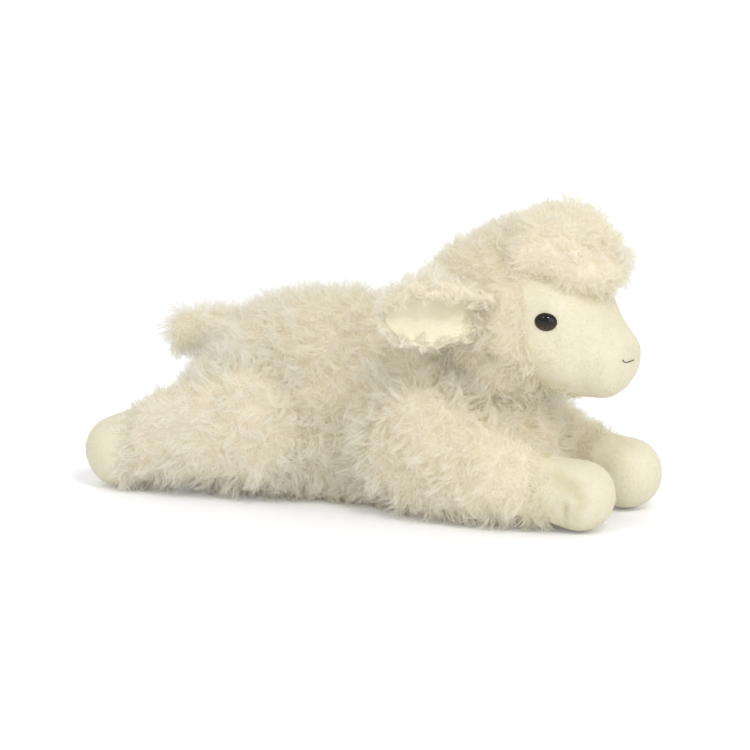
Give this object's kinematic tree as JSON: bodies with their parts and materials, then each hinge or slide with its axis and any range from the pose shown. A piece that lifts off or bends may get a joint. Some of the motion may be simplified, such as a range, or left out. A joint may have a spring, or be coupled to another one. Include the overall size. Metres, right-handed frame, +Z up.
{
  "type": "plush sheep",
  "caption": "Soft toy lamb lying on its belly with legs stretched out, curly cream wool, short plush face and feet, dark glossy eyes, lined ears and a short tail.",
  "frame": {"origin": "on the ground under the belly, in the middle of the toy's length and width", "axes": "+X towards the nose, +Y towards the lamb's own left, +Z up"},
  "size_m": [0.3031, 0.1456, 0.1636],
  "materials": {
    "curly_wool": "long curly pile",
    "short_plush": "short dense pile",
    "fibrefill": "loose polyester fibre",
    "calico": "plain weave",
    "dark_thread": "stitched thread",
    "eye_plastic": "polished",
    "washer_plastic": "moulded"
  },
  "bodies": {
    "torso": {"body_side_left": "curly_wool", "body_side_right": "curly_wool", "belly_panel": "curly_wool", "body_stuffing": "fibrefill", "weight_bag": "calico"},
    "neck": {"neck_sleeve": "curly_wool", "neck_stuffing": "fibrefill"},
    "head": {"face_cover": "short_plush", "head_cap": "curly_wool", "topknot": "curly_wool", "head_stuffing": "fibrefill", "mouth_stitch": "dark_thread", "eye_left": "eye_plastic", "eye_right": "eye_plastic", "eye_washer_left": "washer_plastic", "eye_washer_right": "washer_plastic"},
    "tail": {"tail_cover": "curly_wool", "tail_stuffing": "fibrefill"},
    "ear_left": {"ear_back_left": "curly_wool", "ear_lining_left": "short_plush"},
    "front_leg_left": {"front_leg_sleeve_left": "curly_wool", "front_foot_left": "short_plush", "front_leg_stuffing_left": "fibrefill"},
    "hind_leg_left": {"hind_leg_sleeve_left": "curly_wool", "hind_foot_left": "short_plush", "hind_leg_stuffing_left": "fibrefill"},
    "ear_right": {"ear_back_right": "curly_wool", "ear_lining_right": "short_plush"},
    "front_leg_right": {"front_leg_sleeve_right": "curly_wool", "front_foot_right": "short_plush", "front_leg_stuffing_right": "fibrefill"},
    "hind_leg_right": {"hind_leg_sleeve_right": "curly_wool", "hind_foot_right": "short_plush", "hind_leg_stuffing_right": "fibrefill"}
  },
  "joints": [
    {"name": "neck_turn", "type": "hinge", "parent": "torso", "child": "neck", "pos_m": [0.07625, 0, 0.087], "axis": [0, 0, 1], "range_deg": [-30, 30], "stiffness_Nm_per_rad": 0.15},
    {"name": "head_nod", "type": "hinge", "parent": "neck", "child": "head", "pos_m": [0.07625, 0, 0.087], "axis": [0, -1, 0], "range_deg": [-15, 10], "stiffness_Nm_per_rad": 0.4, "springref_deg": 1.72},
    {"name": "ear_left_swing", "type": "hinge", "parent": "head", "child": "ear_left", "pos_m": [0.07795, 0.03982, 0.1135], "axis": [0, 0, -1], "range_deg": [0, 60], "stiffness_Nm_per_rad": 0.01},
    {"name": "front_leg_left_lift", "type": "hinge", "parent": "torso", "child": "front_leg_left", "pos_m": [0.04625, 0.03, 0.038], "axis": [0, -1, 0], "range_deg": [-50, 15], "stiffness_Nm_per_rad": 0.06},
    {"name": "hind_leg_left_lift", "type": "hinge", "parent": "torso", "child": "hind_leg_left", "pos_m": [-0.05375, 0.03, 0.042], "axis": [0, 1, 0], "range_deg": [-40, 40], "stiffness_Nm_per_rad": 0.06},
    {"name": "ear_right_swing", "type": "hinge", "parent": "head", "child": "ear_right", "pos_m": [0.07795, -0.03982, 0.1135], "axis": [0, 0, 1], "range_deg": [0, 60], "stiffness_Nm_per_rad": 0.01},
    {"name": "front_leg_right_lift", "type": "hinge", "parent": "torso", "child": "front_leg_right", "pos_m": [0.04625, -0.03, 0.038], "axis": [0, -1, 0], "range_deg": [-50, 15], "stiffness_Nm_per_rad": 0.06},
    {"name": "hind_leg_right_lift", "type": "hinge", "parent": "torso", "child": "hind_leg_right", "pos_m": [-0.05375, -0.03, 0.042], "axis": [0, 1, 0], "range_deg": [-40, 40], "stiffness_Nm_per_rad": 0.06},
    {"name": "tail_lift", "type": "hinge", "parent": "torso", "child": "tail", "pos_m": [-0.08875, 0, 0.082], "axis": [0, 1, 0], "range_deg": [-10, 45], "stiffness_Nm_per_rad": 0.01}
  ]
}
